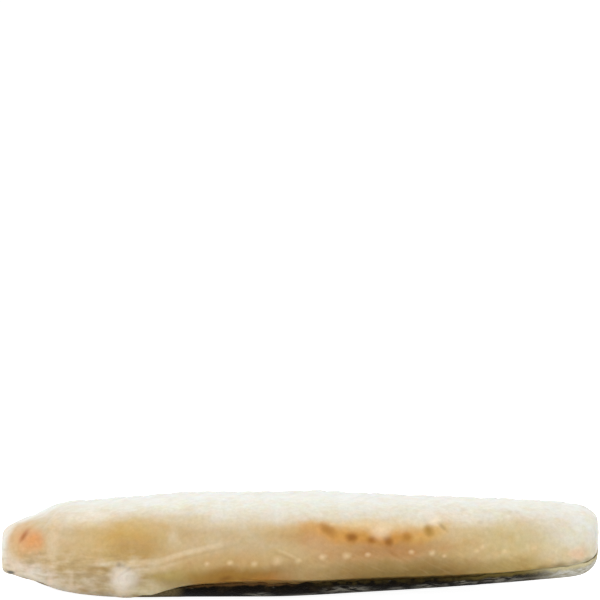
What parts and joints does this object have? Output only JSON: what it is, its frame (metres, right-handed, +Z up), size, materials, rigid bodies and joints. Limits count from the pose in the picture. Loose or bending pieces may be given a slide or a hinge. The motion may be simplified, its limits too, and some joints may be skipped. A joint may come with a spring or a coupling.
{
  "type": "raw cod loin",
  "caption": "Raw cod loin: a thick boneless piece of pale, flaky white fish lying on its dark skin, with a trimmed side and a rounded head end.",
  "frame": {"origin": "on the surface that the piece lies on, under the middle of its box", "axes": "+X towards the tail end, +Y towards the back of the fish and away from the trimmed side, +Z up"},
  "size_m": [0.2516, 0.0786, 0.0399],
  "materials": {
    "flesh": "wet, slightly translucent raw fish flesh, white on top and cream to golden on the trimmed side",
    "skin": "wet dark olive-brown fish skin with small scales and paler mottling"
  },
  "bodies": {
    "root": {"flesh": "flesh", "skin": "skin"}
  },
  "joints": []
}
